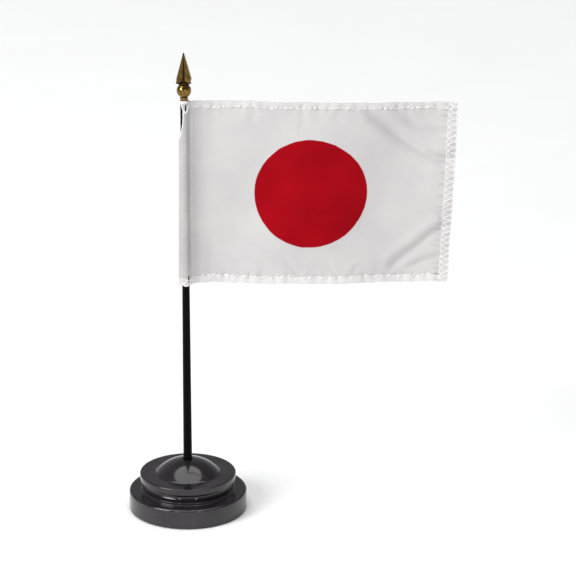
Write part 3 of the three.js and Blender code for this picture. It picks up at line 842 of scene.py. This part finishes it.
def open_sleeve(piece):
    """Cuts the sleeve's mouth away in a wedge on the side off the seam, and slits the cloth beside
    each tack."""
    bpy.ops.object.mode_set(mode="EDIT")
    cuts = list(zip(MOUTH_CUT[1:], MOUTH_CUT))
    for x0, v0 in SLITS:
        cuts += [((x0, v0), (x0, v0 + 1)), ((x0 + SLIT_WIDTH, v0), (x0 + SLIT_WIDTH, v0 + 1)),
                 ((x0, v0), (x0 + 1, v0)), ((x0, v0 + SLIT_LENGTH), (x0 + 1, v0 + SLIT_LENGTH))]

    def near_cut(f):
        middle = f.calc_center_median()
        return (middle.x < (SEAM_X - 0.3) * MM
                and abs(middle.z - (FLAG_TOP - v0) * MM) < CUT_WINDOW * MM)

    for (x0, v0), (x1, v1) in cuts:
        choose(piece, near_cut, "FACE")
        way = Vector((x1 - x0, 0, v0 - v1)).normalized()
        bpy.ops.mesh.bisect(plane_co=(x0 * MM, 0, (FLAG_TOP - v0) * MM), plane_no=(-way.z, 0, way.x),
                            threshold=1e-7)

    mouth_x, mouth_v = zip(*MOUTH_CUT)

    def cut_away(f):
        middle = f.calc_center_median() / MM
        x, v = middle.x, FLAG_TOP - middle.z
        in_mouth = v < mouth_v[-1] and x < np.interp(v, mouth_v, mouth_x)
        in_slit = any(x0 < x < x0 + SLIT_WIDTH and v0 < v < v0 + SLIT_LENGTH for x0, v0 in SLITS)
        return in_mouth or (middle.y < 0 and in_slit)

    choose(piece, cut_away, "FACE")
    bpy.ops.mesh.delete(type="FACE")
    bpy.ops.mesh.select_all(action="SELECT")
    bpy.ops.mesh.normals_make_consistent(inside=False)
    bpy.ops.object.mode_set(mode="OBJECT")


def flag_panel(material):
    """One sheet: sleeve and panel, pulled in by its stitches, cut open at the sleeve's mouth and
    then given its thickness."""
    path = np.array(sleeve_path())
    wrap = np.concatenate([[0.0], np.cumsum(np.hypot(*np.diff(path, axis=0).T))])
    from_seam = spaced((3, 0.3), (REACH - FLY_HEM - 2, 0.85), (REACH, 0.38))
    across = np.concatenate([wrap, wrap[-1] + from_seam[1:]])
    # the rows lie closest where the hems' thickness steps down
    down = spaced((TOP_HEM - 0.3, 0.45), (TOP_HEM + 0.3, 0.15), (TOP_HEM + 3, 0.45),
                  (DROP - BOTTOM_HEM - 3, 0.8), (DROP - BOTTOM_HEM - 0.3, 0.45),
                  (DROP - BOTTOM_HEM + 0.3, 0.15), (DROP, 0.45))
    clear()
    bpy.ops.mesh.primitive_grid_add(x_subdivisions=len(across) - 1, y_subdivisions=len(down) - 1, size=1)
    piece = bpy.context.object
    piece.name = "flag_panel"
    piece.data.name = "flag_panel"
    mesh = piece.data
    at = np.zeros(len(mesh.vertices) * 3)
    mesh.vertices.foreach_get("co", at)
    at = at.reshape(-1, 3)
    column = np.rint((at[:, 0] + 0.5) * (len(across) - 1)).astype(int)
    row = np.rint((0.5 - at[:, 1]) * (len(down) - 1)).astype(int)
    s, v = across[column], down[row]
    u = s - wrap[-1]
    x, y, z = hang(np.maximum(u, 0), v)
    round_x = np.interp(s, wrap, path[:, 0])
    round_y = np.interp(s, wrap, path[:, 1])
    on_sleeve = u < 0
    round_it = np.arctan2(round_y, round_x)
    # the sleeve stands off the rod by a slow bulge, two finer rows of lumps and its puckers
    slack = 1.03 + 0.035 * np.sin(2 * math.pi * (v / 37 + 0.2)) * np.sin(v / 9)
    slack = slack + 0.035 * np.sin(v / 2.3 + 2.4 * round_it + 1.5 * np.sin(v / 6.1)) * np.sin(v / 13.7) ** 2
    slack = slack + 0.03 * np.sin(2 * math.pi * v / 3.3 + 2 * np.sin(v / 9) + 1.2 * round_it) * (
        0.35 + 0.65 * np.sin(v / 21) ** 2)
    slack = slack + 0.05 * drawn_in(v, SLEEVE_PUCKERS, 0.9) * np.cos(round_it + 2.2)
    looser = np.where(round_x < 0, 0.42 * (v / DROP) ** 1.3, 0.0)
    x = np.where(on_sleeve, round_x * (slack + looser), x)
    y = np.where(on_sleeve, round_y * slack, y)
    at[:, 0], at[:, 1], at[:, 2] = x * MM, y * MM, z * MM
    mesh.vertices.foreach_set("co", at.ravel())

    mesh.uv_layers[0].name = "flat"
    corner = np.zeros(len(mesh.loops), int)
    mesh.loops.foreach_get("vertex_index", corner)
    flat = np.stack([s[corner] * MM, -v[corner] * MM], axis=1)
    mesh.uv_layers[0].data.foreach_set("uv", flat.astype(np.float32).ravel())

    # the bottom hem looks whitest, then the top one and the fly hem
    in_hem = np.select([v > DROP - BOTTOM_HEM, v < TOP_HEM, u > REACH - FLY_HEM], [1.0, 0.5, 0.3], 0.0)
    hem = mesh.attributes.new("hem", "FLOAT", "POINT")
    hem.data.foreach_set("value", in_hem.astype(np.float32))

    full = piece.vertex_groups.new(name="fullness")
    share = np.where(on_sleeve, 0.1, hem_fullness(u, v))
    for index, weight in enumerate(share):
        full.add([index], float(weight), "REPLACE")

    open_sleeve(piece)
    thick = piece.modifiers.new("thickness", "SOLIDIFY")
    thick.thickness = HEM_CLOTH * MM
    thick.offset = 0
    thick.vertex_group = "fullness"
    thick.thickness_vertex_group = CLOTH / HEM_CLOTH
    pick(piece)
    bpy.ops.object.modifier_apply(modifier="thickness")
    smooth(piece, 50)
    return done(piece, "flag", material, "white_flag_cloth", "flag_cloth")


def half_thickness(u, v):
    """From the middle of the cloth to its face."""
    return (CLOTH + (HEM_CLOTH - CLOTH) * float(hem_fullness(np.array(u), np.array(v)))) / 2


def stitch(u0, v0, u1, v1, face, lift):
    """One stitch on a face of the panel, -1 for the front: out of the cloth, along it and in again."""
    run = []
    for i in range(7):
        share = i / 6
        u, v = u0 + (u1 - u0) * share, v0 + (v1 - v0) * share
        x, y, z = (float(c) for c in hang(u, v))
        out = half_thickness(u, v) + lift * math.sin(math.pi * share) ** 0.6 - 0.12
        run.append((x, y + face * out, z))
    return run


def row_of_stitches(seed, wavy):
    """Two rows of uneven stitches, one on each face, along a line that wavy gives for u."""
    uneven = random.Random(seed)
    runs = []
    for face in (-1, 1):
        at = 1.0
        while at < REACH - 2.5:
            length = uneven.uniform(1.7, 3.6)
            end = min(at + length, REACH - 0.6)
            v0 = wavy(at) + uneven.uniform(-0.5, 0.5)
            v1 = wavy(at + length) + uneven.uniform(-0.5, 0.5)
            runs.append(stitch(at, v0, end, v1, face, 0.26 + uneven.uniform(0, 0.2)))
            if uneven.random() < 0.45:
                astray = v0 - uneven.uniform(0.5, 1.1)
                runs.append(stitch(at + 0.2, v1 + 0.1, at + length * 0.8, astray, face, STITCH_RISE))
            at += length + uneven.uniform(0.1, 0.5)
    return runs


def fly_stitches():
    """The zigzag over the fly hem, its inner row of short stitches, and both again on the back."""
    uneven = random.Random(21)
    near = REACH - FLY_HEM + 0.15
    far = REACH - 0.45
    runs = []
    for face in (-1, 1):
        at = 0.6
        while at < DROP - ZIGZAG:
            middle = at + ZIGZAG * 0.5 + uneven.uniform(-0.25, 0.25)
            slant = uneven.uniform(-0.2, 0.2)
            runs.append(stitch(near, at, far, middle, face, STITCH_RISE))
            runs.append(stitch(far, middle, near, at + ZIGZAG, face, STITCH_RISE))
            runs.append(stitch(near - 0.1, at + 0.3, near - 0.1 + slant, at + ZIGZAG - 0.4, face, 0.3))
            runs.append(stitch(far + 0.25, middle - 1.0, far + 0.25, middle + 1.0, face, 0.26))
            at += ZIGZAG
    return runs


def round_rod(x, v, out, back=False):
    """A point on the sleeve's face, or on the rod where the sleeve is cut away."""
    radius = SLEEVE_RADIUS + out
    y = math.sqrt(max(radius ** 2 - x ** 2, 0.04))
    bend_x = SLEEVE_RADIUS * math.cos(math.radians(FLANK))
    bend_y = SLEEVE_RADIUS * math.sin(math.radians(FLANK))
    if x > bend_x and not back:
        fall = (SEAM_Y - bend_y) / (SEAM_X - bend_x)
        y = min(y, math.hypot(1, fall) * out - bend_y - fall * (x - bend_x))
    return (x, y if back else -y, FLAG_TOP - 0.35 - v)


def tucked(run):
    """The strand with its two ends pushed into the cloth, so that neither hangs loose."""
    ends = {0: 0.62, 1: 0.85, len(run) - 2: 0.85, len(run) - 1: 0.62}
    return [(x, y * ends.get(i, 1.0), z) for i, (x, y, z) in enumerate(run)]


def between(p0, p1, p2, p3, t):
    """A place from p1 to p2 on the smooth curve through all four."""
    return 0.5 * (2 * p1 + (p2 - p0) * t + (2 * p0 - 5 * p1 + 4 * p2 - p3) * t ** 2
                  + (3 * p1 - p0 - 3 * p2 + p3) * t ** 3)


def eased(points, steps):
    """A smooth line through the points, as (x, v) pairs."""
    made = []
    last = len(points) - 1
    for i in range(last):
        four = [points[min(max(i + k, 0), last)] for k in (-1, 0, 1, 2)]
        for k in range(steps):
            made.append(tuple(between(*axis, k / steps) for axis in zip(*four)))
    return made + [points[-1]]


def top_tack_runs():
    """The strands that draw the sleeve's mouth together, a Y across the rod, on both sides."""
    left = eased([(-1.7, -0.5), (-1.0, 2.0), (-0.35, 4.2), (0.4, 5.9)], 5)
    right = eased([(2.45, 0.1), (2.1, 2.4), (1.6, 4.4), (0.6, 5.9)], 5)
    crown = eased([(-1.8, -0.5), (-0.9, -0.75), (0.8, -0.75), (2.0, -0.4), (2.5, 0.3)], 5)
    under = eased([(-1.5, -0.1), (-0.5, 0.0), (0.8, -0.1), (2.1, 0.2)], 5)
    runs = []
    for back in (False, True):
        for strand in (left, right, crown, under):
            runs.append(tucked([round_rod(x, v, TACK_OUT, back) for x, v in strand]))
        overcast = [(0.5, 5.6)] + [(x + 0.1, v) for x, v in MOUTH_CUT[1:]]
        runs.append(tucked([round_rod(x, v, 0.16, back) for x, v in eased(overcast, 8)]))
    return runs


def bottom_tack_runs():
    """The loop that closes the sleeve's foot, a U across the rod, on both sides."""
    loop = eased([(-1.9, DROP - 1.9), (-1.4, DROP - 0.9), (-0.6, DROP - 0.1), (0.6, DROP + 0.1),
                  (1.7, DROP - 0.5), (2.45, DROP - 2.0), (2.5, DROP - 3.4)], 5)
    cross = eased([(2.5, DROP - 1.6), (1.9, DROP - 2.6), (1.0, DROP - 2.9), (0.4, DROP - 2.4)], 5)
    third = eased([(-0.9, DROP - 0.4), (-0.3, DROP - 1.9), (0.9, DROP - 1.3), (1.6, DROP - 0.6)], 5)
    runs = []
    for back in (False, True):
        for strand in (loop, cross, third):
            runs.append(tucked([round_rod(x, v - 0.4, TACK_OUT, back) for x, v in strand]))
    return runs


# ---------------------------------------------------------------- making

abs_black = gloss_black_abs()
rod_black = satin_black_styrene()
gilt_bright = gilt_plating("gilt_plating_polished", "#634c24", "#927540", 0.07, 0.13)
# the spear's duller gilt, with painted shade in its valleys
gilt_dull = gilt_plating("gilt_plating_dull_painted_shade", "#5b4623", "#7e6639", 0.18, 0.3, in_valleys)
# painted shade, for under the spear and the ball's corners
gilt_painted_shade = gilt_plating("gilt_plating_painted_shade", "#22170a", "#4a351a", 0.25, 0.4)
cloth_white = printed_polyester()
thread_white = polyester_thread()

for hidden, made in (("bottom_plate", matt_black_plate()), ("felt_pad", pressed_felt()),
                     ("ballast_ring", rough_cast_iron())):
    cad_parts[hidden].material_slots[0].material = made

base_tier(abs_black)
base_dome(abs_black)
staff(rod_black)
gilt_head(gilt_bright, gilt_dull, gilt_painted_shade)
panel = flag_panel(cloth_white)

seam_runs = [stitch(0.35, v, 0.35, v + 2.2, face, 0.1) for face in (-1, 1)
             for v in np.arange(1.5, DROP - 3, 2.7)]
top_runs = row_of_stitches(31, lambda u: TOP_HEM - 0.25 + float(wander(u, 17, 0.3)))
bottom_runs = row_of_stitches(32, lambda u: DROP - BOTTOM_HEM + 0.3 + float(wander(u, 18, 0.3)))
stitching = [done(sewn(name, runs, radius), "flag", thread_white, "white_thread", node)
             for name, node, runs, radius in (
                 ("seam_stitches", "sleeve_seam_thread", seam_runs, SEAM_THREAD),
                 ("top_hem_stitches", "top_hem_thread", top_runs, THREAD),
                 ("bottom_hem_stitches", "bottom_hem_thread", bottom_runs, THREAD),
                 ("fly_zigzag", "fly_hem_thread", fly_stitches(), THREAD),
                 ("top_tack_strands", "top_tack", top_tack_runs(), TACK_THREAD),
                 ("bottom_tack_strands", "bottom_tack", bottom_tack_runs(), TACK_THREAD))]

# ---------------------------------------------------------------- floor, light and camera

clear()
bpy.ops.mesh.primitive_plane_add(size=30, location=(0, 0, 0))
floor = bpy.context.object
floor.name = "floor"
floor.data.materials.append(studio_floor())

world = bpy.data.worlds.new("studio")
bpy.context.scene.world = world
world.use_nodes = True
sky = world.node_tree
sky.nodes.clear()
direction = add_node(sky, "ShaderNodeTexCoord").outputs["Generated"]
upward = add_node(sky, "ShaderNodeSeparateXYZ", {0: direction})
walls = add_node(sky, "ShaderNodeValToRGB", {"Fac": upward.outputs["Z"]},
                 stops=((0, "#dcdcdc"), (0.3, "#929394"), (0.75, "#666768")))
studio = add_node(sky, "ShaderNodeBackground", {"Color": walls.outputs["Color"], "Strength": 1.0})
add_node(sky, "ShaderNodeOutputWorld", {"Surface": studio.outputs["Background"]})


def softbox(name, place, aim, size, power):
    """A round soft light at a place, turned to what it lights."""
    light = bpy.data.lights.new(name, "AREA")
    light.shape = "DISK"
    light.size = size
    light.energy = power
    lamp = bpy.data.objects.new(name, light)
    bpy.context.scene.collection.objects.link(lamp)
    lamp.location = place
    lamp.rotation_euler = (Vector(aim) - Vector(place)).to_track_quat("-Z", "Y").to_euler()


MIDDLE = (0.054, 0, 0.13)
softbox("key_front_left", (-1.55, -1.05, 1.35), MIDDLE, 1.2, 37.0)
softbox("small_front_left", (-0.75, -1.95, 0.9), MIDDLE, 0.2, 3.6)
softbox("small_front_right", (0.85, -1.9, 0.95), MIDDLE, 0.2, 3.6)
ceiling = bpy.data.lights.new("ceiling", "SUN")
ceiling.energy = 2.0
ceiling.angle = math.radians(60)
ceiling_lamp = bpy.data.objects.new("ceiling", ceiling)
bpy.context.scene.collection.objects.link(ceiling_lamp)

LENS = 220
ELEVATION = math.radians(20)
DISTANCE = 1.87
aim = Vector((0.0542, 0, 0.1262))
camera_data = bpy.data.cameras.new("camera")
camera_data.lens = LENS
camera_data.sensor_width = 36
camera_data.clip_start = 0.01
camera_data.clip_end = 20
camera = bpy.data.objects.new("camera", camera_data)
bpy.context.scene.collection.objects.link(camera)
camera.location = aim + Vector((0, -math.cos(ELEVATION), math.sin(ELEVATION))) * DISTANCE
camera.rotation_euler = (aim - camera.location).to_track_quat("-Z", "Y").to_euler()
bpy.context.scene.camera = camera
bpy.context.scene.view_settings.view_transform = "Standard"

clear()
